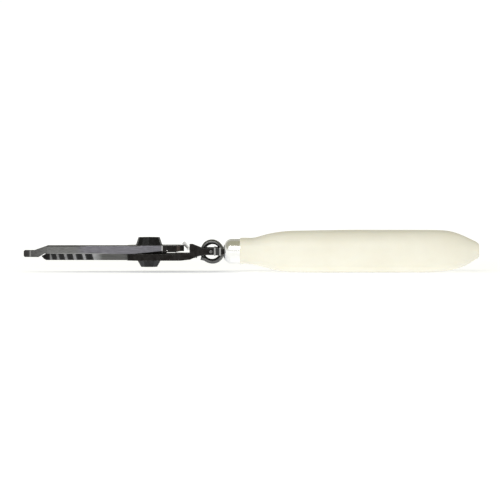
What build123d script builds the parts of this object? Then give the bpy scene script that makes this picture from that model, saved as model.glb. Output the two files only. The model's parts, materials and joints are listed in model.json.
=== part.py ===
from build123d import *
import os

# Leather shears: two lapped forged levers, a compression spring between them, a thumb latch that
# holds them closed, and a moulded grip behind a polished ferrule on each lever.
#
# The shears lie flat and closed. +X runs from the blade tips to the grips and +Z is up. The
# origin is under the middle of the outline, on the plane that the grips rest on. Inside this
# file x is measured from the pivot axis, y from the middle plane and z from the blade seam.
# The near lever (-Y grip) carries the lower blade, the far lever (+Y grip) the upper blade.

# Driving dimensions, mm
OVERALL_LENGTH = 210.0
TIP_REACH = 57.9
GRIP_END = OVERALL_LENGTH - TIP_REACH
UPPER_THICKNESS = 3.85
LOWER_THICKNESS = 3.1
BLADE_GAP = 0.05
HANDLE_Y = 10.6
HANDLE_Z = 1.1
GRIP_HALF_HEIGHT = 9.6

# Blades
LOWER_TIP = 50.4
LOWER_TIP_SLOPE = 2.8
UPPER_TIP_HALF_HEIGHT = 1.6
UPPER_TIP_BACK = 2.3
TIP_CHAMFER = 0.5
JOGGLE_START = 53.0
JOGGLE_END = 46.6
JOGGLE_GAP = 0.6
EDGE_END = 9.7
EDGE_TIP_LAP = 0.9
EDGE_HEEL_LAP = 2.6
BEVEL_WIDTH = 2.3
BEVEL_LAND = 0.25
BEVEL_OVERCUT = 2.0
BEVEL_UNDERCUT = 0.3
BEVEL_RUN_OUT = 1.0
EDGE_BREAK = 0.3
SERRATIONS = [(44.3, 1.35), (40.8, 1.6), (36.9, 1.9), (32.6, 2.2), (28.1, 2.6)]
SERRATION_DEPTH = 0.5
SERRATION_SLANT = 0.8
UPPER_SPINE = [(-46.6, -5.4), (-25.0, -8.9), (-8.0, -10.4)]
LOWER_SPINE_INSET = 0.5
LOWER_SPINE = [(-45.0, 3.0), (-28.0, 7.4), (-10.0, 9.8)]

# Joint
BOLT_RADIUS = 3.0
BORE_CLEARANCE = 0.05
UPPER_DISC_RADIUS = 11.0
LOWER_DISC_RADIUS = 11.2
LOWER_RIM_RADIUS = 12.5
ARM_STEP_RADIUS = 11.5
SHOULDER_RADIUS = 21.9
HEEL_END = 16.2
HEEL_LAP = 5.0
HEEL_BACK_REACH = 8.8
HEEL_OUTSIDE = [(8.1, -11.2), (13.5, -10.2)]
HEEL_INSIDE = [(16.2, -3.2), (13.7, -2.0), (9.5, 0)]
HEEL_UNDERSIDE = 0.8
HEEL_SLIT = [(8.1, 0.8), (12.2, 0.8), (14.5, 1.3), (16.2, 1.3)]
HEEL_SLIT_EYE = (8.3, 1.3)
HEEL_SLIT_EYE_RADIUS = 0.45
HEEL_SLOPE_START = 14.6
HEEL_SLOPE_END = 16.2
HEEL_LUG_START = 14.5
HEEL_LUG_RISE = 0.3
HEEL_GROOVE_X = 13.8
HEEL_GROOVE_DEPTH = 0.35
HEEL_GROOVE_HALF_WIDTH = 0.45
HEEL_GROOVE_HALF_FLOOR = 0.2
SPINE_END = 6.4
SPINE_Y = -10.6
RELIEF_START = 7.0
RELIEF_DEPTH = 1.55
RELIEF_INSET = 5.0
RELIEF_RUN_OUT = 1.0
WASHER_RADIUS = 6.2
WASHER_THICKNESS = 0.4
NUT_HEIGHT = 3.3
NUT_BASE_RADIUS = 6.0
NUT_TOP_RADIUS = 4.95
NUT_RECESS = 0.4
BOLT_CHAMFER = 0.5
HEAD_HEIGHT = 3.05
HEAD_BASE_RADIUS = 5.4
HEAD_TIP_RADIUS = 3.7

# Arms, collars and tangs
ARM_ROOT = 4.0
ARM_ROOT_OUTER = 11.4
ARM_INSIDE = [(4.0, 1.0), (12.0, 1.9), (18.5, 2.3), (21.4, 3.2)]
ARM_OUTSIDE = [(18.6, 11.3), (12.0, 11.1)]
ARM_UNDERSIDE = [(21.8, -1.3), (19.0, -2.6), (14.5, -3.1)]
NECK_ROOT = 23.4
NECK_START = 25.0
NECK_END = 29.9
NECK_INNER = 8.0
NECK_OUTER = 12.6
NECK_HALF_HEIGHT = 1.55
BLOCK_START = 16.5
BLOCK_TOP = 4.7
BLOCK_SLOPE = [(20.1, 4.7), (22.1, 3.9), (23.7, 3.3)]
ARM_TOP = 0.5
ARM_RAMP_START = 11.4
ARM_RAMP_END = 12.2
LEDGE_START = 19.2
LEDGE_TOP = 1.6
LEDGE_STEP = 0.0
POCKET_REACH = 7.5
POCKET_WIDTH = 3.2
TANG_END = 128.0
TANG_HALF_WIDTH = 2.0
TANG_HALF_HEIGHT = 1.3
COLLAR_START = 30.0
COLLAR_END = 33.2
COLLAR_HALF_WIDTH = 2.4
COLLAR_HALF_HEIGHT = 1.87
COLLAR_RIM = 0.7
COLLAR_WAIST = 0.18
COLLAR_ROUNDING = 0.3

# Ferrules and grips
FERRULE_START = 34.4
FERRULE_END = 42.0
FERRULE_RADIUS = 5.4
FERRULE_WALL = 0.8
FERRULE_FRONT_WALL = 3.2
FERRULE_NOSE_RADIUS = 3.8
GRIP_NECK_RADIUS = 5.85
GRIP_END_ROUNDING = 1.5

# Spring and its pegs
SPRING_X = 28.6
SPRING_MEAN_RADIUS = 4.5
WIRE_RADIUS = 0.9
SPRING_TURNS = 6.75
SPRING_CLEARANCE = 0.05
PEG_RADIUS = 1.4
PEG_LENGTH = 3.5
PEG_ROUNDING = 0.675
PEG_RIVET_RADIUS = 0.6
PEG_RIVET_HEAD_RADIUS = 0.78
PEG_RIVET_HEAD = 0.15
PEG_RIVET_TAPER = 30

# Latch, drawn let go: turning it by the hook angle takes its finger behind the stud
LATCH_X = 20.5
LATCH_Y = 7.4
LATCH_HOOK_ANGLE = 7.0
LATCH_THICKNESS = 0.7
LATCH_LIFT = 0.1
LATCH_EYE_RADIUS = 2.4
LATCH_RIVET_RADIUS = 1.2
LATCH_RIVET_HEAD_RADIUS = 1.9
LATCH_RIVET_HEAD_HEIGHT = 0.5
LATCH_RIVET_DEPTH = 1.2
LATCH_RIVET_TAPER = 35
LATCH_WASHER_RADIUS = 1.8
LATCH_WASHER_THICKNESS = 0.2
STRAP_FRONT = -1.4
STRAP_BACK = 1.8
STRAP_LENGTH = 6.0
HOOK_BACK = 1.0
HOOK_WIDTH = 1.1
HOOK_SHOULDER = 1.5
HOOK_CLEARANCE = 0.15
FINGER_WIDTH = 0.8
FINGER_SET_BACK = 0.1
TAB_PLACE = 6.6
TAB_HALF_WIDTH = 2.4
TAB_RISE = 3.0
TAB_LEAN = 2.7
TAB_ROOT_FRONT = -1.5
TAB_ROOT_BACK = -0.6
TAB_THICKNESS = 0.8
TAB_BEND = 0.3
STUD_X = 21.3
STUD_Y = -5.2
STUD_RADIUS = 0.9
STUD_DEPTH = 2.0
STUD_PROUD = 0.2

# The joint's place in the part's frame
PIVOT_X = (TIP_REACH - GRIP_END) / 2
SEAM_Z = GRIP_HALF_HEIGHT - HANDLE_Z
HANDLE_HEIGHT = SEAM_Z + HANDLE_Z
REACH = 30.0

os.makedirs("parts", exist_ok=True)


def plan_at(height):
    """Horizontal plane through the pivot axis, at a height above the blade seam."""
    return Plane(origin=(PIVOT_X, 0, SEAM_Z + height))


def side_at(y, height=0.0):
    """Upright plane along the shears, at a distance from the middle plane."""
    return Plane(origin=(PIVOT_X, y, SEAM_Z + height), x_dir=(1, 0, 0), z_dir=(0, -1, 0))


def cross_at(x, y, height):
    """Plane across a handle, facing the grip's end, with its own x to the far side."""
    return Plane(origin=(PIVOT_X + x, y, SEAM_Z + height), x_dir=(0, 1, 0), z_dir=(1, 0, 0))


def save(piece, name):
    """Label a finished piece and write it as its own node."""
    piece.part.label = name
    export_step(piece.part, f"parts/{name}.step")


def arm_outline(side):
    """Plan of one arm, from inside the joint disc to the end of its tang."""
    tang_inner = HANDLE_Y - TANG_HALF_WIDTH
    tang_outer = HANDLE_Y + TANG_HALF_WIDTH
    root_outer = (ARM_ROOT, ARM_ROOT_OUTER * side)
    neck_outer = (NECK_START, NECK_OUTER * side)
    with BuildSketch() as outline:
        with BuildLine():
            Polyline(
                root_outer,
                *[(x, y * side) for x, y in ARM_INSIDE],
                (NECK_ROOT, NECK_INNER * side),
                (NECK_END, NECK_INNER * side),
                (NECK_END, tang_inner * side),
                (TANG_END, tang_inner * side),
                (TANG_END, tang_outer * side),
                neck_outer,
            )
            Spline(neck_outer, *[(x, y * side) for x, y in ARM_OUTSIDE], root_outer)
        make_face()
    return outline.sketch


def lower_rim():
    """Plan of the lower disc's wider near side, which ends in a flat behind the cutting edge."""
    with BuildSketch() as rim:
        Circle(LOWER_RIM_RADIUS)
        with Locations((-EDGE_END + REACH / 2, -EDGE_HEEL_LAP - REACH / 2)):
            Rectangle(REACH, REACH, mode=Mode.INTERSECT)
    return rim.sketch


def neck_and_tang_top():
    """Upper side-view points of the neck and tang, from the neck's start to the tang's end."""
    return [
        (NECK_START, HANDLE_Z + NECK_HALF_HEIGHT),
        (NECK_END, HANDLE_Z + NECK_HALF_HEIGHT),
        (NECK_END, HANDLE_Z + TANG_HALF_HEIGHT),
        (TANG_END, HANDLE_Z + TANG_HALF_HEIGHT),
    ]


def underside_from_tang():
    """Lower side-view points of a lever, from the tang's end back to the joint disc."""
    return [
        (TANG_END, HANDLE_Z - TANG_HALF_HEIGHT),
        (NECK_END, HANDLE_Z - TANG_HALF_HEIGHT),
        (NECK_END, HANDLE_Z - NECK_HALF_HEIGHT),
        (NECK_START, HANDLE_Z - NECK_HALF_HEIGHT),
        *ARM_UNDERSIDE,
    ]


def bevel_section(thickness):
    """Section of the metal ground off a cutting edge, from the land down to the blade's far face."""
    with BuildSketch(mode=Mode.PRIVATE) as section:
        with BuildLine():
            Polyline(
                (-BEVEL_OVERCUT, -BEVEL_LAND),
                (0, -BEVEL_LAND),
                (BEVEL_WIDTH, -thickness - BEVEL_UNDERCUT),
                (-BEVEL_OVERCUT, -thickness - BEVEL_UNDERCUT),
                close=True,
            )
        make_face()
    return section.sketch


# Upper blade: blade, joint disc, heel with its catch groove, and the far arm
spine_end = (SPINE_END, SPINE_Y)
tip_back = (-TIP_REACH, -UPPER_TIP_BACK)
relief_end = SPINE_END + RELIEF_RUN_OUT
with BuildPart() as upper_blade:
    with BuildSketch(plan_at(-REACH / 2)):
        Circle(UPPER_DISC_RADIUS)
        with BuildLine():
            Polyline(
                spine_end,
                (SPINE_END, 0),
                (0, EDGE_END - EDGE_HEEL_LAP),
                (-EDGE_END, EDGE_HEEL_LAP),
                (-TIP_REACH, EDGE_TIP_LAP),
                tip_back,
            )
            Spline(tip_back, *UPPER_SPINE, spine_end)
        make_face()
        add(arm_outline(1))
    extrude(amount=REACH)
    with BuildSketch(side_at(0)):
        with BuildLine():
            Polyline(
                (-TIP_REACH, -UPPER_TIP_HALF_HEIGHT + TIP_CHAMFER),
                (-TIP_REACH, UPPER_TIP_HALF_HEIGHT - TIP_CHAMFER),
                (-TIP_REACH + TIP_CHAMFER, UPPER_TIP_HALF_HEIGHT),
                (-JOGGLE_START, UPPER_TIP_HALF_HEIGHT),
                (-JOGGLE_END, UPPER_THICKNESS),
                (HEEL_SLOPE_START, UPPER_THICKNESS),
                (HEEL_SLOPE_END, LEDGE_STEP),
                (LEDGE_START, LEDGE_STEP),
                (LEDGE_START, LEDGE_TOP),
                (NECK_ROOT, LEDGE_TOP),
                *neck_and_tang_top(),
                *underside_from_tang(),
                (ARM_ROOT, -LOWER_THICKNESS),
                (ARM_ROOT, BLADE_GAP),
                (-LOWER_TIP + LOWER_TIP_SLOPE - JOGGLE_GAP, BLADE_GAP),
                (-LOWER_TIP - JOGGLE_GAP, -UPPER_TIP_HALF_HEIGHT),
                (-TIP_REACH + TIP_CHAMFER, -UPPER_TIP_HALF_HEIGHT),
                close=True,
            )
        make_face()
    extrude(amount=REACH, both=True, mode=Mode.INTERSECT)
    # Room for the lower blade's disc and for the near arm under this lever
    with BuildSketch(plan_at(BLADE_GAP)):
        Circle(ARM_STEP_RADIUS)
        with Locations((REACH / 2, -REACH / 2)):
            Rectangle(REACH, REACH)
    extrude(amount=-REACH, mode=Mode.SUBTRACT)
    # Relief that opens towards the heel on the near side
    with BuildSketch(side_at(-RELIEF_INSET)):
        with BuildLine():
            Polyline((-RELIEF_START, 0), (relief_end, RELIEF_DEPTH), (relief_end, 0), close=True)
        make_face()
    extrude(amount=REACH, mode=Mode.SUBTRACT)
    # Heel over the near arm, thinner than the blade
    with BuildSketch(plan_at(HEEL_UNDERSIDE)):
        with BuildLine():
            Polyline(
                (SPINE_END - HEEL_LAP, -HEEL_LAP),
                spine_end,
                *HEEL_OUTSIDE,
                (HEEL_END, -HEEL_BACK_REACH),
                *HEEL_INSIDE,
                close=True,
            )
        make_face()
    extrude(amount=UPPER_THICKNESS - HEEL_UNDERSIDE)
    # Slit under the heel, open from side to side, with a drilled eye at its closed end
    with BuildSketch(side_at(0)):
        with BuildLine():
            Polyline(
                (HEEL_SLIT[0][0], LEDGE_STEP),
                *HEEL_SLIT,
                (HEEL_END, LEDGE_STEP),
                close=True,
            )
        make_face()
        with Locations(HEEL_SLIT_EYE):
            Circle(HEEL_SLIT_EYE_RADIUS)
    extrude(amount=REACH, both=True, mode=Mode.SUBTRACT)
    # Groove across the heel near its end
    with BuildSketch(side_at(0)):
        with BuildLine():
            Polyline(
                (HEEL_GROOVE_X - HEEL_GROOVE_HALF_WIDTH, UPPER_THICKNESS),
                (HEEL_GROOVE_X - HEEL_GROOVE_HALF_FLOOR, UPPER_THICKNESS - HEEL_GROOVE_DEPTH),
                (HEEL_GROOVE_X + HEEL_GROOVE_HALF_FLOOR, UPPER_THICKNESS - HEEL_GROOVE_DEPTH),
                (HEEL_GROOVE_X + HEEL_GROOVE_HALF_WIDTH, UPPER_THICKNESS),
                close=True,
            )
        make_face()
    extrude(amount=REACH, mode=Mode.SUBTRACT)
    # Cutting bevel on the far edge
    edge_start = Vector(PIVOT_X - JOGGLE_START, EDGE_TIP_LAP + BEVEL_LAND, SEAM_Z)
    edge_stop = Vector(PIVOT_X - EDGE_END, EDGE_HEEL_LAP, SEAM_Z)
    edge_run = edge_stop - edge_start
    with BuildSketch(Plane(origin=edge_start, x_dir=(0, -1, 0), z_dir=edge_run.normalized())):
        add(bevel_section(UPPER_THICKNESS))
    extrude(amount=edge_run.length, mode=Mode.SUBTRACT)
    # Pivot bore and latch rivet bore
    with Locations((PIVOT_X, 0, SEAM_Z)):
        Cylinder(BOLT_RADIUS, REACH, mode=Mode.SUBTRACT)
    with Locations((PIVOT_X + LATCH_X, LATCH_Y, SEAM_Z)):
        Cylinder(LATCH_RIVET_RADIUS, REACH, mode=Mode.SUBTRACT)
    # Bore for the far spring peg's rivet
    with BuildSketch(side_at(REACH, HANDLE_Z)):
        with Locations((SPRING_X, 0)):
            Circle(PEG_RIVET_RADIUS)
    extrude(amount=REACH, mode=Mode.SUBTRACT)
    # Broken edge along the blade's back
    blade_face = upper_blade.faces().group_by(Axis.Z)[-1].sort_by(SortBy.AREA)[-1]
    chamfer(blade_face.edges().filter_by(GeomType.BSPLINE).sort_by(SortBy.LENGTH)[-1], EDGE_BREAK)
    # Lug across the heel's end
    with BuildSketch(plan_at(UPPER_THICKNESS)):
        with BuildLine():
            Polyline(
                (HEEL_LUG_START, -HEEL_BACK_REACH),
                (HEEL_LUG_START, HEEL_INSIDE[0][1]),
                HEEL_INSIDE[0],
                (HEEL_END, -HEEL_BACK_REACH),
                close=True,
            )
        make_face()
    extrude(amount=HEEL_LUG_RISE)
save(upper_blade, "upper_blade")


# Lower blade: serrated blade, joint disc, near arm with its shoulder, and tang
lower_tip = (-LOWER_TIP, -EDGE_TIP_LAP)
lower_spine_end = (0, LOWER_DISC_RADIUS - LOWER_SPINE_INSET)
with BuildPart() as lower_blade:
    with BuildSketch(plan_at(-REACH / 2)):
        Circle(LOWER_DISC_RADIUS)
        with BuildLine():
            Polyline(
                lower_spine_end,
                (0, -EDGE_HEEL_LAP),
                (-EDGE_END, -EDGE_HEEL_LAP),
                lower_tip,
            )
            Spline(lower_tip, *LOWER_SPINE, lower_spine_end)
        make_face()
        add(lower_rim())
        add(arm_outline(-1))
    extrude(amount=REACH)
    with BuildSketch(side_at(0)):
        with BuildLine():
            Polyline(
                (-LOWER_TIP, -LOWER_THICKNESS / 2),
                (-LOWER_TIP + LOWER_TIP_SLOPE, -BLADE_GAP),
                (ARM_RAMP_START, -BLADE_GAP),
                (ARM_RAMP_END, ARM_TOP),
                (BLOCK_START, ARM_TOP),
                (BLOCK_START, BLOCK_TOP),
                *BLOCK_SLOPE,
                *neck_and_tang_top(),
                *underside_from_tang(),
                (-LOWER_TIP + LOWER_TIP_SLOPE, -LOWER_THICKNESS),
                close=True,
            )
        make_face()
    extrude(amount=REACH, both=True, mode=Mode.INTERSECT)
    # Shoulder wall that clears the upper blade's heel, and the latch hook's pocket inside it
    with BuildSketch(plan_at(ARM_TOP)):
        Circle(SHOULDER_RADIUS)
        with Locations((SHOULDER_RADIUS, 0)):
            Rectangle(POCKET_WIDTH, 2 * POCKET_REACH)
    extrude(amount=REACH, mode=Mode.SUBTRACT)
    # Cutting bevel on the near edge
    edge_start = Vector(PIVOT_X - LOWER_TIP - BEVEL_RUN_OUT, -EDGE_TIP_LAP, SEAM_Z)
    edge_stop = Vector(PIVOT_X - EDGE_END, -EDGE_HEEL_LAP, SEAM_Z)
    edge_run = edge_stop - edge_start
    with BuildSketch(Plane(origin=edge_start, x_dir=(0, 1, 0), z_dir=edge_run.normalized())):
        add(bevel_section(LOWER_THICKNESS))
    extrude(amount=edge_run.length, mode=Mode.SUBTRACT)
    # Slanting scallops across the bevel
    edge_reach = LOWER_TIP + BEVEL_RUN_OUT - EDGE_END
    for distance, radius in SERRATIONS:
        foot = edge_stop - edge_run * (distance - EDGE_END) / edge_reach
        slope = Vector(SERRATION_SLANT, BEVEL_WIDTH, -LOWER_THICKNESS)
        outward = Vector(0, -LOWER_THICKNESS, -BEVEL_WIDTH).normalized()
        centre = foot + outward * (radius - SERRATION_DEPTH)
        with Locations(Plane(origin=centre, z_dir=slope.normalized())):
            Cylinder(radius, 3 * LOWER_THICKNESS, mode=Mode.SUBTRACT)
    # Running bore, and bores for the latch stud and the near spring peg's rivet
    with Locations((PIVOT_X, 0, SEAM_Z)):
        Cylinder(BOLT_RADIUS + BORE_CLEARANCE, REACH, mode=Mode.SUBTRACT)
    with Locations((PIVOT_X + STUD_X, STUD_Y, SEAM_Z)):
        Cylinder(STUD_RADIUS, REACH, mode=Mode.SUBTRACT)
    with BuildSketch(side_at(0, HANDLE_Z)):
        with Locations((SPRING_X, 0)):
            Circle(PEG_RIVET_RADIUS)
    extrude(amount=REACH, mode=Mode.SUBTRACT)
    # Broken edge along the blade's back
    blade_face = lower_blade.faces().group_by(Axis.Z)[0].sort_by(SortBy.AREA)[-1]
    chamfer(blade_face.edges().filter_by(GeomType.BSPLINE).sort_by(SortBy.LENGTH)[-1], EDGE_BREAK)
save(lower_blade, "lower_blade")


# Pivot bolt: tapered hexagonal head under the joint, shank through both levers and the nut
head_top = -LOWER_THICKNESS - BLADE_GAP
nut_base = UPPER_THICKNESS + WASHER_THICKNESS
with BuildPart() as pivot_bolt:
    with BuildSketch(plan_at(head_top)):
        RegularPolygon(HEAD_BASE_RADIUS, 6)
    with BuildSketch(plan_at(head_top - HEAD_HEIGHT)):
        RegularPolygon(HEAD_TIP_RADIUS, 6)
    loft()
    with BuildSketch(plan_at(head_top)):
        Circle(BOLT_RADIUS)
    extrude(amount=nut_base + NUT_HEIGHT - NUT_RECESS - head_top)
    chamfer(pivot_bolt.faces().sort_by(Axis.Z)[-1].edges(), BOLT_CHAMFER)
save(pivot_bolt, "pivot_bolt")


with BuildPart() as pivot_nut:
    with BuildSketch(plan_at(nut_base)):
        RegularPolygon(NUT_BASE_RADIUS, 12)
    with BuildSketch(plan_at(nut_base + NUT_HEIGHT)):
        RegularPolygon(NUT_TOP_RADIUS, 12)
    loft()
    with Locations((PIVOT_X, 0, SEAM_Z)):
        Cylinder(BOLT_RADIUS, REACH, mode=Mode.SUBTRACT)
save(pivot_nut, "pivot_nut")


with BuildPart() as nut_washer:
    with BuildSketch(plan_at(UPPER_THICKNESS)):
        Circle(WASHER_RADIUS)
        Circle(BOLT_RADIUS, mode=Mode.SUBTRACT)
    extrude(amount=WASHER_THICKNESS)
save(nut_washer, "nut_washer")


# Compression spring across the arms, with its pegs riveted through the necks
spring_reach = NECK_INNER - WIRE_RADIUS - SPRING_CLEARANCE
with BuildPart() as coil_spring:
    with BuildLine():
        Helix(
            pitch=2 * spring_reach / SPRING_TURNS,
            height=2 * spring_reach,
            radius=SPRING_MEAN_RADIUS,
            center=(PIVOT_X + SPRING_X, -spring_reach, HANDLE_HEIGHT),
            direction=(0, 1, 0),
        )
    coil = coil_spring.pending_edges[0]
    with BuildSketch(Plane(origin=coil @ 0, z_dir=coil % 0)):
        Circle(WIRE_RADIUS)
    sweep(is_frenet=True)
save(coil_spring, "coil_spring")


def spring_peg(side):
    """Peg that keeps the spring on its arm, headed over on the arm's outer face."""
    with BuildPart() as peg:
        with BuildSketch(side_at(side * (NECK_INNER - PEG_LENGTH), HANDLE_Z)):
            with Locations((SPRING_X, 0)):
                Circle(PEG_RADIUS)
        extrude(amount=-side * PEG_LENGTH)
        inner_end = peg.faces().sort_by(Axis.Y)[0 if side > 0 else -1]
        fillet(inner_end.edges(), PEG_ROUNDING)
        with BuildSketch(side_at(side * NECK_INNER, HANDLE_Z)):
            with Locations((SPRING_X, 0)):
                Circle(PEG_RIVET_RADIUS)
        extrude(amount=-side * (NECK_OUTER - NECK_INNER))
        with BuildSketch(side_at(side * NECK_OUTER, HANDLE_Z)):
            with Locations((SPRING_X, 0)):
                Circle(PEG_RIVET_HEAD_RADIUS)
        extrude(amount=-side * PEG_RIVET_HEAD, taper=PEG_RIVET_TAPER)
    return peg


def collar(side):
    """Square sleeve on the tang behind the neck, with a raised rim at each end."""
    plane = cross_at(COLLAR_START, side * HANDLE_Y, HANDLE_Z)
    length = COLLAR_END - COLLAR_START
    waist = (2 * (COLLAR_HALF_WIDTH - COLLAR_WAIST), 2 * (COLLAR_HALF_HEIGHT - COLLAR_WAIST))
    with BuildPart() as sleeve:
        with BuildSketch(plane):
            Rectangle(*waist)
        extrude(amount=length)
        for start in (0, length - COLLAR_RIM):
            with BuildSketch(plane.offset(start)):
                RectangleRounded(2 * COLLAR_HALF_WIDTH, 2 * COLLAR_HALF_HEIGHT, COLLAR_ROUNDING)
            extrude(amount=COLLAR_RIM)
        with BuildSketch(plane):
            Rectangle(2 * TANG_HALF_WIDTH, 2 * TANG_HALF_HEIGHT)
        extrude(amount=length, mode=Mode.SUBTRACT)
    return sleeve


def ferrule(side):
    """Drawn cap over the grip's nose, with a rounded front and a slot for the tang."""
    axis_point = (PIVOT_X, side * HANDLE_Y, HANDLE_HEIGHT)
    with BuildPart() as cap:
        with BuildSketch(side_at(side * HANDLE_Y, HANDLE_Z)):
            with BuildLine():
                Polyline(
                    (FERRULE_START + FERRULE_NOSE_RADIUS, FERRULE_RADIUS),
                    (FERRULE_END, FERRULE_RADIUS),
                    (FERRULE_END, FERRULE_RADIUS - FERRULE_WALL),
                    (FERRULE_START + FERRULE_FRONT_WALL, FERRULE_RADIUS - FERRULE_WALL),
                    (FERRULE_START + FERRULE_FRONT_WALL, 0),
                    (FERRULE_START, 0),
                    (FERRULE_START, FERRULE_RADIUS - FERRULE_NOSE_RADIUS),
                )
                RadiusArc(
                    (FERRULE_START, FERRULE_RADIUS - FERRULE_NOSE_RADIUS),
                    (FERRULE_START + FERRULE_NOSE_RADIUS, FERRULE_RADIUS),
                    FERRULE_NOSE_RADIUS,
                )
            make_face()
        revolve(axis=Axis(axis_point, (1, 0, 0)))
        with BuildSketch(cross_at(FERRULE_START, side * HANDLE_Y, HANDLE_Z)):
            Rectangle(2 * TANG_HALF_WIDTH, 2 * TANG_HALF_HEIGHT)
        extrude(amount=FERRULE_FRONT_WALL, mode=Mode.SUBTRACT)
    return cap


# Grip sections from nose to end: place, half height, half width, outward bow and rise
GRIP_SECTIONS = [
    (FERRULE_END, GRIP_NECK_RADIUS, GRIP_NECK_RADIUS, 0.0, 0.0),
    (48.0, 5.95, 5.95, 0.1, 0.0),
    (51.0, 6.65, 6.45, 0.2, 0.0),
    (54.0, 7.5, 7.0, 0.4, 0.0),
    (58.0, 8.4, 7.65, 0.7, -0.1),
    (63.0, 9.05, 8.25, 1.1, -0.1),
    (70.0, 9.35, 8.7, 1.6, -0.15),
    (90.5, GRIP_HALF_HEIGHT - 0.05, 8.9, 2.4, -0.02),
    (115.5, GRIP_HALF_HEIGHT - 0.05, 8.7, 2.3, 0.0),
    (128.0, 9.5, 8.45, 1.8, 0.05),
    (133.6, 9.33, 8.15, 1.5, 0.15),
    (138.2, 8.9, 7.65, 1.25, 0.25),
    (142.8, 7.8, 6.65, 1.0, 0.2),
    (147.3, 5.85, 5.1, 0.75, 0.25),
    (150.2, 4.25, 3.8, 0.6, 0.5),
    (GRIP_END, 3.3, 3.0, 0.5, 0.5),
]


def grip(side):
    """Moulded oval grip, bowed outward, with a round nose inside the ferrule."""
    nose_start = FERRULE_START + FERRULE_FRONT_WALL
    with BuildPart() as handle:
        for x, half_height, half_width, bow, rise in GRIP_SECTIONS:
            with BuildSketch(cross_at(x, side * (HANDLE_Y + bow), HANDLE_Z + rise)):
                Ellipse(half_width, half_height)
        loft()
        with BuildSketch(cross_at(nose_start, side * HANDLE_Y, HANDLE_Z)):
            Circle(FERRULE_RADIUS - FERRULE_WALL)
        extrude(amount=FERRULE_END - nose_start)
        with BuildSketch(cross_at(nose_start, side * HANDLE_Y, HANDLE_Z)):
            Rectangle(2 * TANG_HALF_WIDTH, 2 * TANG_HALF_HEIGHT)
        extrude(amount=TANG_END - nose_start, mode=Mode.SUBTRACT)
        fillet(handle.faces().sort_by(Axis.X)[-1].edges(), GRIP_END_ROUNDING)
    return handle


for side, place in ((-1, "near"), (1, "far")):
    save(spring_peg(side), f"spring_peg_{place}")
    save(collar(side), f"collar_{place}")
    save(ferrule(side), f"ferrule_{place}")
    save(grip(side), f"grip_{place}")


# Latch plate on the far arm: eye, strap, hook and a thumb tab bent up at its front
eye_point = (PIVOT_X + LATCH_X, LATCH_Y, SEAM_Z + LEDGE_TOP + LATCH_LIFT)
eye = Location(eye_point, (0, 0, -LATCH_HOOK_ANGLE))
latch_plane = Plane(eye)
latch_side = Plane(origin=eye.position, x_dir=latch_plane.x_dir, z_dir=-latch_plane.y_dir)
stud_x = STUD_X - LATCH_X
stud_y = STUD_Y - LATCH_Y
mouth = STUD_RADIUS + HOOK_CLEARANCE
hook_front = stud_x - mouth - HOOK_WIDTH
finger_front = stud_y - mouth - FINGER_WIDTH
finger_end = stud_x - FINGER_SET_BACK
with BuildPart() as latch_plate:
    with BuildSketch(latch_plane):
        Circle(LATCH_EYE_RADIUS)
        with BuildLine():
            Polyline(
                (STRAP_FRONT, 0),
                (STRAP_FRONT, -STRAP_LENGTH),
                (hook_front, stud_y + HOOK_SHOULDER),
                (hook_front, finger_front),
                (finger_end, finger_front),
                (finger_end, stud_y + mouth),
                (HOOK_BACK, stud_y + mouth),
                (STRAP_BACK, -STRAP_LENGTH),
                (LATCH_EYE_RADIUS, 0),
                close=True,
            )
        make_face()
        with Locations((stud_x, stud_y)):
            Circle(mouth, mode=Mode.SUBTRACT)
            with Locations((mouth, 0)):
                Rectangle(2 * mouth, 2 * mouth, mode=Mode.SUBTRACT)
        Circle(LATCH_RIVET_RADIUS + BORE_CLEARANCE, mode=Mode.SUBTRACT)
    extrude(amount=LATCH_THICKNESS)
    with BuildSketch(latch_side.offset(TAB_PLACE)):
        with BuildLine():
            Polyline(
                (TAB_ROOT_BACK, 0),
                (TAB_ROOT_FRONT, 0),
                (TAB_ROOT_FRONT - TAB_LEAN, TAB_RISE),
                (TAB_ROOT_FRONT - TAB_LEAN + TAB_THICKNESS, TAB_RISE + TAB_THICKNESS),
                (TAB_ROOT_FRONT + TAB_BEND, LATCH_THICKNESS),
                (TAB_ROOT_BACK, LATCH_THICKNESS),
                close=True,
            )
        make_face()
    extrude(amount=TAB_HALF_WIDTH, both=True)
save(latch_plate, "latch_plate")


# Rivet that the latch turns on, with a spring washer under its head
washer_base = LEDGE_TOP + LATCH_LIFT + LATCH_THICKNESS + LATCH_LIFT
head_base = washer_base + LATCH_WASHER_THICKNESS
with BuildPart() as latch_rivet:
    with BuildSketch(Plane(eye)):
        Circle(LATCH_RIVET_RADIUS)
    extrude(amount=-(LEDGE_TOP + LATCH_LIFT + LATCH_RIVET_DEPTH))
    with BuildSketch(Plane(eye)):
        Circle(LATCH_RIVET_RADIUS)
    extrude(amount=head_base - LEDGE_TOP - LATCH_LIFT)
    with BuildSketch(Plane(eye).offset(head_base - LEDGE_TOP - LATCH_LIFT)):
        Circle(LATCH_RIVET_HEAD_RADIUS)
    extrude(amount=LATCH_RIVET_HEAD_HEIGHT, taper=LATCH_RIVET_TAPER)
save(latch_rivet, "latch_rivet")


with BuildPart() as latch_washer:
    with BuildSketch(Plane(eye).offset(washer_base - LEDGE_TOP - LATCH_LIFT)):
        Circle(LATCH_WASHER_RADIUS)
        Circle(LATCH_RIVET_RADIUS, mode=Mode.SUBTRACT)
    extrude(amount=LATCH_WASHER_THICKNESS)
save(latch_washer, "latch_washer")


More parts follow.
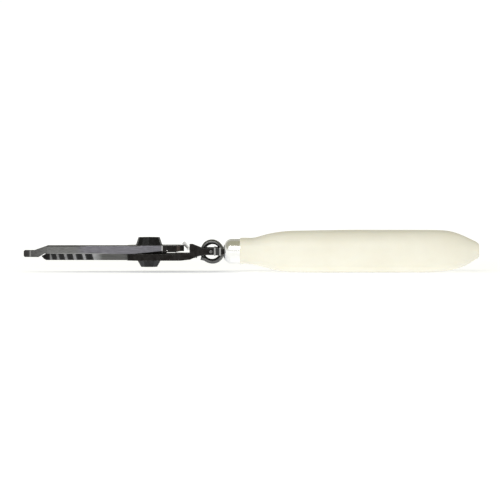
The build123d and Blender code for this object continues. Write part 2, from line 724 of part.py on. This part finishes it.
with BuildPart() as latch_stud:
    with BuildSketch(Plane(origin=(PIVOT_X + STUD_X, STUD_Y, SEAM_Z - STUD_DEPTH))):
        Circle(STUD_RADIUS)
    extrude(amount=STUD_DEPTH + LEDGE_TOP + LATCH_LIFT + LATCH_THICKNESS + STUD_PROUD)
    chamfer(latch_stud.faces().sort_by(Axis.Z)[-1].edges(), STUD_PROUD)
save(latch_stud, "latch_stud")
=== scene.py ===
import json
import math

import bmesh
import bpy
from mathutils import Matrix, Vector


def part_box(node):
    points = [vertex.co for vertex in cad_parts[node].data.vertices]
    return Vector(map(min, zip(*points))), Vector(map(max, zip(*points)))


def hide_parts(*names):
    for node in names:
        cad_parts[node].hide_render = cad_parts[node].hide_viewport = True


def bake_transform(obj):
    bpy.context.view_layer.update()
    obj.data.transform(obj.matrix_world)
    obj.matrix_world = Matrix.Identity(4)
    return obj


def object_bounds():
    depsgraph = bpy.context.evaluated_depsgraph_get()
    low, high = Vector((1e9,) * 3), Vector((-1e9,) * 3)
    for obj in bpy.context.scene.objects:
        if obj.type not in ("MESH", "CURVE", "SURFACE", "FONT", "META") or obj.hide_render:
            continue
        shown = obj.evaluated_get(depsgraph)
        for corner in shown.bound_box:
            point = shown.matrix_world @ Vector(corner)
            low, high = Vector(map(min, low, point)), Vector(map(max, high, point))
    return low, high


# Leather shears lying flat and closed, seen from beside the near grip. Everything is in metres in
# the CAD frame: +X runs from the blade tips to the grips, +Z is up, and z = 0 is the table.

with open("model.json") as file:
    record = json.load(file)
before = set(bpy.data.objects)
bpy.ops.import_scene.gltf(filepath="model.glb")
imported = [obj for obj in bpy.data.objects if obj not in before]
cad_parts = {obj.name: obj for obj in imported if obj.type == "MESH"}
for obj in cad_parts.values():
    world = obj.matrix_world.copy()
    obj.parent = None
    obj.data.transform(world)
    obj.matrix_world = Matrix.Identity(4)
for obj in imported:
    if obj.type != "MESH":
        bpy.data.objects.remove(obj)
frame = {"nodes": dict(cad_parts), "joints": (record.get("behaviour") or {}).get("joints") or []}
cad_low, cad_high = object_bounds()

MM = 0.001
PIVOT = Vector(next(j for j in frame["joints"] if j["name"] == "main_hinge")["pos_m"])
NODES = frame["nodes"]

# View and studio
CAMERA_ELEVATION = math.radians(1.5)
CAMERA_DISTANCE = 3.0
CAMERA_CLIP = (0.05, 20.0)
OBJECT_SHARE = 0.909
AIM_OFFSET = Vector((-0.5 * MM, 0, 0.5 * MM))
SENSOR_WIDTH = 36.0
FLOOR_RADIUS = 5.0
FLOOR_SEGMENTS = 96
FLOOR_CLEARANCE = 0.1 * MM
FLOOR_BASE = (0.9, 0.9, 0.9, 1.0)
FLOOR_GLOW_REACH = (0.12, 0.6)
FLOOR_GLOW = (0.45, 0.72)
FLOOR_WHITE = (0.93, 0.95, 1.0, 1.0)
SOFTBOX_PLACE = Vector((-0.2, -0.72, 0.62))
SOFTBOX_SIZE = (0.9, 0.5)
SOFTBOX_POWER = 4.2
ROOM_FALL = (0.12, 0.5)
ROOM_LEVELS = (1.03, 0.4)
ROOM_HORIZON = (1.0, 1.0, 1.0, 1.0)
ROOM_OVERHEAD = (1.0, 0.97, 0.7, 1.0)

# Coil spring
SPRING_TURNS = 6.75
SPRING_END_TURNS = 0.9
SPRING_EASE_TURNS = 0.3
SPRING_STEPS = 64
SPRING_CLOSED_SPACING = 1.02
WIRE_RADIUS = 0.9 * MM
WIRE_SIDES = 20
SPRING_GROUND = 0.25 * MM
SPRING_BOW = Vector((0.4 * MM, 0, -0.3 * MM))
SPRING_SAG = Vector((0.4 * MM, 0, -0.15 * MM))
SPRING_FIRST_ANGLE = math.radians(228)
TAIL_DIRECTION = Vector((-0.97, 0, 0.24))
TAIL_LENGTH = 2.1 * MM
TAIL_STEPS = 4

# Ground stretches of the black levers: places along X and Z are measured from the pivot
SPINE_END = 6.4 * MM
SPINE_LIP = 0.45 * MM
SPINE_INNERMOST = -5.3 * MM
SPINE_TOP = 3.85 * MM
SPINE_DARK_RIM = 0.6 * MM
SPINE_FOOT = 0.35 * MM
SPINE_FOOT_REACH = (-46 * MM, -20 * MM)
SPINE_FOOT_FADE = 2 * MM
SPINE_TINT = (-35 * MM, -29 * MM)
RIM_FADE = (-28 * MM, -32 * MM)
JOGGLE = (-57.5 * MM, -46.5 * MM)
JOGGLE_GROUND = (0.3, 0.9)
JOGGLE_FADE = 1.0 * MM
TIP_CAP_END = -55.4 * MM
TIP_GLINT = (-55.1 * MM, -54.5 * MM)
CATCH_BAND = (12.9 * MM, 14.4 * MM)
BEVEL_START = -53 * MM
BEVEL_END = -9.7 * MM
BEVEL_PLAIN = (-22 * MM, -12 * MM)
BEVEL_NORMAL_BELOW = Vector((0, -0.4, -0.3))
SCALLOP_DEPTH = 0.5 * MM
BEVEL_GROUND_DEPTH = (1.6 * SCALLOP_DEPTH, 1.3 * SCALLOP_DEPTH)
SCALLOP_EDGE_DEPTH = (0.03 * SCALLOP_DEPTH, 0.16 * SCALLOP_DEPTH)
HOLLOW_SHADE_DEPTH = (0.2 * SCALLOP_DEPTH, SCALLOP_DEPTH)
FIRST_LAND = -46.0 * MM
FIRST_LAND_FADE = 0.3 * MM
LAST_LAND = (-25.2 * MM, -21.5 * MM)
CRISP = 0.1 * MM
SOFT = 0.2 * MM

# Parts of the outward normal over which a finish fades in
TOWARDS_NEAR_SIDE = (-0.3, -0.7)
TOWARDS_NEAR_BEVEL = (-0.15, -0.4)
TOWARDS_FAR_BEVEL = (0.3, 0.45)

# Edges
EDGE_WEAR = 0.28 * MM
EDGE_GAIN = 3.5
EDGE_SAMPLES = 6
STEEL_ROUNDING = 0.18 * MM
PLATE_ROUNDING = 0.12 * MM
FERRULE_ROUNDING = 0.15 * MM
COLLAR_RIM = 0.75 * MM
# Share of the painted highlight at the collar's two ends
COLLAR_RIM_HIGHLIGHT = 0.8

# Surfaces: levels of a noise between which its effect runs, roughness at both, and bump depth
NOISE_ROUGHNESS = 0.55
MOTTLE_RUN = (0.35, 0.7)
BLOTCH_RUN = (0.35, 0.68)
STROKE_RUN = (0.35, 0.65)
GRAIN_RUN = (0.3, 0.75)
FINE_RUN = (0.3, 0.7)
PLATE_GRAIN_RUN = (0.3, 0.72)
SPECK_RUN = (0.62, 0.72)
STEEL_WEAR_RUN = (0.38, 0.6)
PLATE_WEAR_RUN = (0.36, 0.58)
OXIDE_ROUGHNESS = (0.38, 0.54)
GROUND_ROUGHNESS = (0.28, 0.44)
FERRULE_ROUGHNESS = (0.17, 0.27)
IVORY_ROUGHNESS = (0.3, 0.4)
STEEL_RELIEF = 0.04 * MM
PLATE_RELIEF = 0.006 * MM
IVORY_RELIEF = 0.02 * MM
MOTTLE_HEIGHT = 0.6
STROKE_HEIGHT = 0.5

# Colours, linear
OXIDE = ((0.0125, 0.011, 0.0105, 1.0), (0.027, 0.025, 0.0245, 1.0))
OXIDE_WORN = (0.2424, 0.24, 0.2376, 1.0)
# Brownish painted shade laid across the catch on the upper blade's near side
CATCH_SHADE_BROWN = (0.062, 0.05, 0.045, 1.0)
STROKE_SHADE = 0.6
SPINE_GREY = 0.2
SPINE_LILAC = (0.215, 0.21, 0.24, 1.0)
SPINE_LIP_HIGHLIGHT_GREY = 0.5
SPINE_FOOT_GREY = 0.38
SPINE_FOOT_SHARE = 0.7
RIM_AND_CAP_GROUND = 0.45
TIP_GLINT_GREY = 0.5
FAR_BEVEL = (0.2, 0.2, 0.19, 1.0)
NEAR_BEVEL = (0.175, 0.175, 0.165, 1.0)
LAND_GREYS = (0.26, 0.52)
HOLLOW_SHADE_GREYS = (0.1, 0.03)
PLATE_SHADES = (0.75, 1.2)
PLATE_ROUGHNESS_SHARES = (0.8, 1.25)
FERRULE_GREYS = (0.88, 0.96)
IVORY = ((0.79, 0.765, 0.665, 1.0), (0.82, 0.8, 0.71, 1.0))
IVORY_SPECK = (0.7, 0.66, 0.53, 1.0)
IVORY_SPECK_SHARE = 0.12


# ---- Node building -----------------------------------------------------------------------------
class Graph:
    """A material being built: each method adds its nodes and gives back the useful output."""

    def __init__(self, name):
        self.material = bpy.data.materials.new(name)
        self.material.use_nodes = True
        self.tree = self.material.node_tree
        self.shader = self.tree.nodes["Principled BSDF"]
        self.place = self.tree.nodes.new("ShaderNodeTexCoord").outputs["Object"]

    def add(self, kind, **settings):
        node = self.tree.nodes.new("ShaderNode" + kind)
        for name, value in settings.items():
            setattr(node, name, value)
        return node

    def feed(self, socket, value):
        if isinstance(value, bpy.types.NodeSocket):
            self.tree.links.new(value, socket)
        else:
            socket.default_value = value

    def stretched(self, scale):
        node = self.add("Mapping")
        self.feed(node.inputs["Vector"], self.place)
        node.inputs["Scale"].default_value = scale
        return node.outputs["Vector"]

    def noise(self, scale, detail, along=None):
        node = self.add("TexNoise")
        self.feed(node.inputs["Vector"], self.stretched(along) if along else self.place)
        node.inputs["Scale"].default_value = scale
        node.inputs["Detail"].default_value = detail
        node.inputs["Roughness"].default_value = NOISE_ROUGHNESS
        return node.outputs["Fac"]

    def math(self, operation, a, b=0.0, clamp=False):
        node = self.add("Math", operation=operation, use_clamp=clamp)
        self.feed(node.inputs[0], a)
        self.feed(node.inputs[1], b)
        return node.outputs[0]

    def span(self, value, low, high, to_low=0.0, to_high=1.0):
        node = self.add("MapRange")
        self.feed(node.inputs["Value"], value)
        for name, x in (("From Min", low), ("From Max", high), ("To Min", to_low), ("To Max", to_high)):
            self.feed(node.inputs[name], x)
        return node.outputs["Result"]

    def blend(self, share, first, second):
        node = self.add("Mix", data_type="RGBA")
        self.feed(node.inputs[0], share)
        self.feed(node.inputs[6], first)
        self.feed(node.inputs[7], second)
        return node.outputs[2]

    def axis(self, name):
        node = self.add("SeparateXYZ")
        self.feed(node.inputs[0], self.place)
        return node.outputs[name]

    def facing(self, name):
        node = self.add("SeparateXYZ")
        self.feed(node.inputs[0], self.add("NewGeometry").outputs["Normal"])
        return node.outputs[name]

    def product(self, first, *others):
        for other in others:
            first = self.math("MULTIPLY", first, other)
        return first

    def along(self, start, end, to_low=0.0, to_high=1.0):
        """Runs from to_low to to_high between two places along X, measured from the pivot."""
        return self.span(self.axis("X"), PIVOT.x + start, PIVOT.x + end, to_low, to_high)

    def within(self, low, high, soft):
        """1 between two places along X, measured from the pivot, and 0 outside, with soft ends."""
        rise = self.along(low - soft, low + soft)
        fall = self.along(high - soft, high + soft, 1.0, 0.0)
        return self.product(rise, fall)

    def depth_below(self, point, normal):
        """How far a point of the surface lies below a plane, in metres."""
        offset = self.add("VectorMath", operation="SUBTRACT")
        self.feed(offset.inputs[0], point)
        self.feed(offset.inputs[1], self.place)
        dot = self.add("VectorMath", operation="DOT_PRODUCT")
        self.feed(dot.inputs[0], offset.outputs["Vector"])
        self.feed(dot.inputs[1], normal)
        return dot.outputs["Value"]

    def rounded(self, radius):
        node = self.add("Bevel", samples=EDGE_SAMPLES)
        node.inputs["Radius"].default_value = radius
        return node.outputs["Normal"]

    def edges(self):
        """How sharply the surface turns here, from 0 on a flat to 1 on a crisp edge."""
        true_normal = self.add("NewGeometry").outputs["Normal"]
        dot = self.add("VectorMath", operation="DOT_PRODUCT")
        self.feed(dot.inputs[0], self.rounded(EDGE_WEAR))
        self.feed(dot.inputs[1], true_normal)
        turned = self.math("SUBTRACT", 1.0, dot.outputs["Value"])
        return self.math("MULTIPLY", turned, EDGE_GAIN, clamp=True)

    def surface(self, colour, roughness, relief, depth, edge=None):
        """Joins colour, roughness and a height map up to the shader, over a slightly rounded edge."""
        self.feed(self.shader.inputs["Base Color"], colour)
        self.feed(self.shader.inputs["Roughness"], roughness)
        bump = self.add("Bump")
        bump.inputs["Strength"].default_value = 1.0
        bump.inputs["Distance"].default_value = depth
        self.feed(bump.inputs["Height"], relief)
        if edge:
            self.feed(bump.inputs["Normal"], self.rounded(edge))
        self.feed(self.shader.inputs["Normal"], bump.outputs["Normal"])
        return self.material


def grey(level):
    return (level, level, level, 1.0)


# ---- Materials ---------------------------------------------------------------------------------
def black_steel(name, ground):
    """Black oxide over forged steel. ground(graph, colour, strokes) paints the ground stretches."""
    g = Graph(name)
    g.shader.inputs["Metallic"].default_value = 0.9
    g.shader.inputs["Specular IOR Level"].default_value = 0.3
    mottle = g.noise(scale=520, detail=4.0)
    grain = g.noise(scale=5200, detail=2.0)
    strokes = g.noise(scale=1.0, detail=3.0, along=(160, 2600, 5200))
    oxide = g.blend(g.span(mottle, *MOTTLE_RUN), *OXIDE)
    share, colour = ground(g, oxide, strokes)
    roughness = g.span(grain, *GRAIN_RUN, *OXIDE_ROUGHNESS)
    roughness = g.span(share, 0.0, 1.0, roughness, g.span(strokes, *FINE_RUN, *GROUND_ROUGHNESS))
    brightened = g.product(g.edges(), g.span(g.noise(scale=900, detail=2.0), *STEEL_WEAR_RUN))
    colour = g.blend(brightened, colour, OXIDE_WORN)
    relief = g.math("ADD", g.product(mottle, MOTTLE_HEIGHT), g.product(strokes, STROKE_HEIGHT))
    return g.surface(colour, roughness, relief, STEEL_RELIEF, edge=STEEL_ROUNDING)


def streaked(g, strokes, bright):
    """A ground metal colour with its grinding strokes."""
    shade = g.blend(g.span(strokes, *STROKE_RUN), grey(1.0), grey(STROKE_SHADE))
    node = g.add("Mix", data_type="RGBA", blend_type="MULTIPLY")
    node.inputs[0].default_value = 1.0
    g.feed(node.inputs[6], bright)
    g.feed(node.inputs[7], shade)
    return node.outputs[2]


def upper_ground(g, colour, strokes):
    """The near side of the upper blade's back is ground: grey at the tip, lilac towards the heel.
    Its top rim and the tip's end stay darker and its foot is bright; its heel end gets a painted
    highlight and a band across the tip a painted glint. The cutting bevel on the far side is ground
    too."""
    z = g.axis("Z")
    near = g.span(g.facing("Y"), *TOWARDS_NEAR_SIDE)
    outer = g.span(g.axis("Y"), SPINE_INNERMOST + SOFT, SPINE_INNERMOST)
    side = g.product(outer, near, g.along(SPINE_END, SPINE_END - CRISP))
    tip = g.product(near, g.along(JOGGLE[1], JOGGLE[1] - JOGGLE_FADE), g.along(*JOGGLE, *JOGGLE_GROUND))
    rim_foot = PIVOT.z + SPINE_TOP - SPINE_DARK_RIM
    rim = g.product(g.span(z, rim_foot - CRISP, rim_foot), g.along(*RIM_FADE))
    cap = g.along(TIP_CAP_END, TIP_CAP_END - SOFT)
    kept = g.span(g.math("MAXIMUM", rim, cap), 0.0, 1.0, 1.0, RIM_AND_CAP_GROUND)
    share = g.product(g.math("MAXIMUM", side, tip), kept)

    metal = g.blend(
        g.along(*SPINE_TINT),
        streaked(g, strokes, grey(SPINE_GREY)),
        streaked(g, strokes, SPINE_LILAC),
    )
    # Painted highlight: the heel end of the ground back is brighter, as on a chamfer catching the light
    lip_start = SPINE_END - SPINE_LIP
    metal = g.blend(g.along(lip_start - CRISP, lip_start), metal, grey(SPINE_LIP_HIGHLIGHT_GREY))
    foot_top = PIVOT.z + SPINE_FOOT
    foot = g.span(z, foot_top, foot_top - CRISP, 0.0, SPINE_FOOT_SHARE)
    foot = g.product(foot, g.within(*SPINE_FOOT_REACH, SPINE_FOOT_FADE))
    metal = g.blend(foot, metal, grey(SPINE_FOOT_GREY))
    metal = g.blend(g.within(*TIP_GLINT, CRISP), metal, grey(TIP_GLINT_GREY))

    # Painted shade: a brownish band across the near side at the catch, where the catch lies in shadow
    catch_shade = g.product(g.within(*CATCH_BAND, SOFT), near)
    colour = g.blend(catch_shade, colour, CATCH_SHADE_BROWN)
    far_bevel = g.product(
        g.span(g.facing("Y"), *TOWARDS_FAR_BEVEL),
        g.span(g.facing("Z"), *TOWARDS_FAR_BEVEL),
        g.within(BEVEL_START, BEVEL_END, CRISP),
    )
    colour = g.blend(far_bevel, colour, streaked(g, strokes, FAR_BEVEL))
    return g.math("MAXIMUM", share, far_bevel), g.blend(share, colour, metal)


def bevel_plane():
    """A point on the lower blade's cutting bevel and the bevel's outward normal."""
    low, high = (PIVOT.x + x for x in BEVEL_PLAIN)
    point, normal, area = Vector(), Vector(), 0.0
    for face in NODES["lower_blade"].data.polygons:
        on_bevel = face.normal.y < BEVEL_NORMAL_BELOW.y and face.normal.z < BEVEL_NORMAL_BELOW.z
        if on_bevel and low < face.center.x < high:
            point += face.center * face.area
            normal += face.normal * face.area
            area += face.area
    return point / area, normal.normalized()


def lower_ground(g, colour, strokes):
    """The cutting bevel is ground, and the scallops cut into it are painted dark grey, darker the
    deeper they go, as painted shade.
    """
    point, normal = bevel_plane()
    depth = g.depth_below(point, normal)
    share = g.product(
        g.span(g.facing("Y"), *TOWARDS_NEAR_BEVEL),
        g.span(depth, *BEVEL_GROUND_DEPTH),
        g.along(BEVEL_END + CRISP, BEVEL_END),
        g.along(FIRST_LAND, FIRST_LAND + FIRST_LAND_FADE),
    )
    serrated = g.along(LAST_LAND[1], LAST_LAND[0])
    brightened = g.along(FIRST_LAND, LAST_LAND[0])
    lands = streaked(g, strokes, g.blend(brightened, *(grey(level) for level in LAND_GREYS)))
    plain = streaked(g, strokes, NEAR_BEVEL)
    # Painted shade: the scallops' hollows darken with their depth below the bevel
    sunk = g.span(depth, *HOLLOW_SHADE_DEPTH)
    hollow_shade = g.blend(sunk, *(grey(level) for level in HOLLOW_SHADE_GREYS))
    cut = g.span(depth, *SCALLOP_EDGE_DEPTH)
    metal = g.blend(cut, g.blend(serrated, plain, lands), hollow_shade)
    return share, g.blend(share, colour, metal)


def plated(name, level, roughness, wear_and_highlight_grey, rim=None):
    """Plated or tempered small steel parts, with faint blotches, grain and bright edges.
    rim is (start, end) along X, from the pivot, of a part whose two ends get a painted highlight."""
    g = Graph(name)
    g.shader.inputs["Metallic"].default_value = 1.0
    blotch = g.noise(scale=900, detail=3.0)
    grain = g.noise(scale=7000, detail=2.0)
    colour = g.blend(g.span(blotch, *BLOTCH_RUN), *(grey(level * share) for share in PLATE_SHADES))
    brightened = g.product(g.edges(), g.span(g.noise(scale=1500, detail=2.0), *PLATE_WEAR_RUN))
    if rim:
        # Painted highlight: a bright band at each end of the collar, added to the real edge wear
        waist = g.within(rim[0] + COLLAR_RIM, rim[1] - COLLAR_RIM, CRISP / 2)
        brightened = g.math("MAXIMUM", brightened, g.span(waist, 0.0, 1.0, COLLAR_RIM_HIGHLIGHT, 0.0))
    colour = g.blend(brightened, colour, grey(wear_and_highlight_grey))
    rough = g.span(grain, *PLATE_GRAIN_RUN, *(roughness * share for share in PLATE_ROUGHNESS_SHARES))
    return g.surface(colour, rough, g.math("ADD", grain, blotch), PLATE_RELIEF, edge=PLATE_ROUNDING)


def polished_ferrule():
    """Drawn, polished metal with turning marks round the handle's axis."""
    g = Graph("polished_ferrule")
    g.shader.inputs["Metallic"].default_value = 1.0
    rings = g.noise(scale=1.0, detail=2.0, along=(9000, 120, 120))
    haze = g.noise(scale=700, detail=3.0)
    colour = g.blend(g.span(haze, *MOTTLE_RUN), *(grey(level) for level in FERRULE_GREYS))
    rough = g.span(haze, *FINE_RUN, *FERRULE_ROUGHNESS)
    return g.surface(colour, rough, rings, PLATE_RELIEF, edge=FERRULE_ROUNDING)


def ivory_grip():
    """Smooth moulded ivory plastic, slightly translucent, with a soft gloss and faint orange peel."""
    g = Graph("ivory_grip")
    cloud = g.noise(scale=60, detail=3.0)
    speckle = g.noise(scale=2600, detail=2.0)
    peel = g.noise(scale=900, detail=2.0)
    colour = g.blend(g.span(cloud, *BLOTCH_RUN), *IVORY)
    colour = g.blend(g.span(speckle, *SPECK_RUN, 0.0, IVORY_SPECK_SHARE), colour, IVORY_SPECK)
    g.shader.inputs["Subsurface Weight"].default_value = 0.12
    g.shader.inputs["Subsurface Radius"].default_value = (1.0, 0.8, 0.5)
    g.shader.inputs["Subsurface Scale"].default_value = 1.2 * MM
    g.shader.inputs["IOR"].default_value = 1.49
    g.shader.inputs["Specular IOR Level"].default_value = 0.3
    rough = g.span(peel, *FINE_RUN, *IVORY_ROUGHNESS)
    return g.surface(colour, rough, peel, IVORY_RELIEF)


# ---- Pieces ------------------------------------------------------------------------------------
def wire_heights(reach):
    """The wire's place along the spring's axis at each step: close at both ends, open between."""
    count = round(SPRING_TURNS * SPRING_STEPS)
    closed_pitch = 2 * WIRE_RADIUS * SPRING_CLOSED_SPACING
    open_turns = SPRING_TURNS - 2 * SPRING_END_TURNS
    open_pitch = (2 * reach - 2 * SPRING_END_TURNS * closed_pitch) / open_turns
    heights, height = [], 0.0
    for step in range(count + 1):
        heights.append(height)
        turn = step / SPRING_STEPS
        past_end = min(turn, SPRING_TURNS - turn) - SPRING_END_TURNS + SPRING_EASE_TURNS / 2
        share = min(1.0, max(0.0, past_end / SPRING_EASE_TURNS))
        height += (closed_pitch + (open_pitch - closed_pitch) * share) / SPRING_STEPS
    stretch = 2 * reach / heights[-1]
    return [height * stretch - reach for height in heights]


def wire_path(centre, mean_radius, reach):
    """The middle of the wire and its outward direction at each step, from the tail's free end."""
    heights = wire_heights(reach)
    path = []
    for step, height in enumerate(heights):
        angle = SPRING_FIRST_ANGLE + 2 * math.pi * step / SPRING_STEPS
        outward = Vector((math.cos(angle), 0, math.sin(angle)))
        bow = SPRING_SAG + SPRING_BOW * math.sin(math.pi * step / (len(heights) - 1)) ** 2
        path.append((centre + outward * mean_radius + bow + Vector((0, height, 0)), outward))
    below = TAIL_DIRECTION.cross(Vector((0, 1, 0)))
    start = path[0][0]
    for step in range(1, TAIL_STEPS + 1):
        path.insert(0, (start + TAIL_DIRECTION * TAIL_LENGTH * step / TAIL_STEPS, below))
    return path


def spring_coil():
    """Wire spring between the arms: closed end turns, ground flat, and a short tail at the near end."""
    low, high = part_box("coil_spring")
    centre = (low + high) / 2
    half = (high.y - low.y) / 2
    mean_radius = (high.x - low.x) / 2 - WIRE_RADIUS
    mesh = bmesh.new()
    rings = []
    for middle, outward in wire_path(centre, mean_radius, half - WIRE_RADIUS + SPRING_GROUND):
        ring = []
        for side in range(WIRE_SIDES):
            turn = 2 * math.pi * side / WIRE_SIDES
            along_axis = Vector((0, WIRE_RADIUS * math.sin(turn), 0))
            point = middle + outward * WIRE_RADIUS * math.cos(turn) + along_axis
            point.y = min(centre.y + half, max(centre.y - half, point.y))
            ring.append(mesh.verts.new(point))
        rings.append(ring)
    for first, second in zip(rings, rings[1:]):
        for side in range(WIRE_SIDES):
            after = (side + 1) % WIRE_SIDES
            mesh.faces.new((first[side], first[after], second[after], second[side]))
    mesh.faces.new(rings[0])
    mesh.faces.new(reversed(rings[-1]))
    bmesh.ops.recalc_face_normals(mesh, faces=mesh.faces)
    data = bpy.data.meshes.new("spring_coil")
    mesh.to_mesh(data)
    mesh.free()
    for face in data.polygons:
        face.use_smooth = True
    obj = bpy.data.objects.new("spring_coil", data)
    bpy.context.scene.collection.objects.link(obj)
    data.materials.append(spring_wire)
    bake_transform(obj)
    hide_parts("coil_spring")


def finish_nodes(material, *names):
    """Gives CAD nodes a material through their objects' slots."""
    for name in names:
        for slot in NODES[name].material_slots:
            slot.link = "OBJECT"
            slot.material = material


upper_steel = black_steel("upper_lever_steel", upper_ground)
lower_steel = black_steel("lower_lever_steel", lower_ground)
fastener_steel = plated("fastener_steel", level=0.018, roughness=0.42, wear_and_highlight_grey=0.12)
# Painted reflection: the bolt takes a lighter, glossier copy of the fastener steel, standing in for the
# floor reflected in its head
bolt_reflection_steel = plated("bolt_reflection_steel", level=0.052, roughness=0.32, wear_and_highlight_grey=0.24)
spring_wire = plated("spring_wire", level=0.125, roughness=0.28, wear_and_highlight_grey=0.4)
collar_ends = [corner.x - PIVOT.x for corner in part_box("collar_near")]
collar_plate = plated("collar_plate", level=0.045, roughness=0.34, wear_and_highlight_grey=0.4, rim=collar_ends)
latch_plate = plated("latch_plate_zinc", level=0.68, roughness=0.28, wear_and_highlight_grey=0.85)
ferrule_metal = polished_ferrule()
ivory = ivory_grip()

finish_nodes(upper_steel, "upper_blade")
finish_nodes(lower_steel, "lower_blade")
finish_nodes(fastener_steel, "pivot_nut", "nut_washer")
finish_nodes(bolt_reflection_steel, "pivot_bolt")
finish_nodes(spring_wire, "spring_peg_near", "spring_peg_far")
finish_nodes(collar_plate, "collar_near", "collar_far")
finish_nodes(latch_plate, "latch_plate", "latch_rivet", "latch_washer", "latch_stud")
finish_nodes(ferrule_metal, "ferrule_near", "ferrule_far")
finish_nodes(ivory, "grip_near", "grip_far")
spring_coil()


# ---- Studio ------------------------------------------------------------------------------------
def floor():
    """Round white table, lit from below like a light table, so that shadows stay faint."""
    mesh = bmesh.new()
    bmesh.ops.create_circle(mesh, cap_ends=True, segments=FLOOR_SEGMENTS, radius=FLOOR_RADIUS)
    data = bpy.data.meshes.new("floor")
    mesh.to_mesh(data)
    mesh.free()
    obj = bpy.data.objects.new("floor", data)
    bpy.context.scene.collection.objects.link(obj)
    obj.location.z = cad_low.z - FLOOR_CLEARANCE
    paper = Graph("white_table")
    distance = paper.add("VectorMath", operation="LENGTH")
    paper.feed(distance.inputs[0], paper.place)
    glow = paper.span(distance.outputs["Value"], *FLOOR_GLOW_REACH, *FLOOR_GLOW)
    paper.shader.inputs["Base Color"].default_value = FLOOR_BASE
    paper.shader.inputs["Roughness"].default_value = 1.0
    paper.shader.inputs["Specular IOR Level"].default_value = 0.0
    paper.shader.inputs["Emission Color"].default_value = FLOOR_WHITE
    paper.feed(paper.shader.inputs["Emission Strength"], glow)
    data.materials.append(paper.material)


def softbox(name, place, size, power, target):
    light = bpy.data.lights.new(name, "AREA")
    light.shape = "RECTANGLE"
    light.size, light.size_y = size
    light.energy = power
    obj = bpy.data.objects.new(name, light)
    bpy.context.scene.collection.objects.link(obj)
    obj.location = place
    obj.rotation_euler = (target - obj.location).to_track_quat("-Z", "Y").to_euler()


def white_room():
    """Bright near the horizon and dimmer overhead, like a tent lit from its sides."""
    world = bpy.data.worlds.new("room")
    world.use_nodes = True
    nodes, links = world.node_tree.nodes, world.node_tree.links
    direction = nodes.new("ShaderNodeSeparateXYZ")
    links.new(nodes.new("ShaderNodeTexCoord").outputs["Generated"], direction.inputs[0])
    fall = nodes.new("ShaderNodeMapRange")
    links.new(direction.outputs["Z"], fall.inputs["Value"])
    fall.inputs["From Min"].default_value, fall.inputs["From Max"].default_value = ROOM_FALL
    fall.inputs["To Min"].default_value, fall.inputs["To Max"].default_value = ROOM_LEVELS
    links.new(fall.outputs["Result"], nodes["Background"].inputs["Strength"])
    tint = nodes.new("ShaderNodeMix")
    tint.data_type = "RGBA"
    links.new(direction.outputs["Z"], tint.inputs[0])
    tint.inputs[6].default_value = ROOM_HORIZON
    tint.inputs[7].default_value = ROOM_OVERHEAD
    links.new(tint.outputs[2], nodes["Background"].inputs["Color"])
    bpy.context.scene.world = world


def camera():
    """The photograph's view: level with the shears, square to them and just above."""
    middle = (cad_low + cad_high) / 2 + AIM_OFFSET
    back = Vector((0, -math.cos(CAMERA_ELEVATION), math.sin(CAMERA_ELEVATION)))
    data = bpy.data.cameras.new("camera")
    data.sensor_width = SENSOR_WIDTH
    data.lens = SENSOR_WIDTH * CAMERA_DISTANCE * OBJECT_SHARE / (cad_high.x - cad_low.x)
    data.clip_start, data.clip_end = CAMERA_CLIP
    obj = bpy.data.objects.new("camera", data)
    bpy.context.scene.collection.objects.link(obj)
    obj.location = middle + back * CAMERA_DISTANCE
    obj.rotation_euler = (-back).to_track_quat("-Z", "Y").to_euler()
    bpy.context.scene.camera = obj


bpy.context.scene.view_settings.view_transform = "Standard"
floor()
white_room()
middle = (cad_low + cad_high) / 2
softbox("front_softbox", middle + SOFTBOX_PLACE, SOFTBOX_SIZE, SOFTBOX_POWER, middle)
camera()
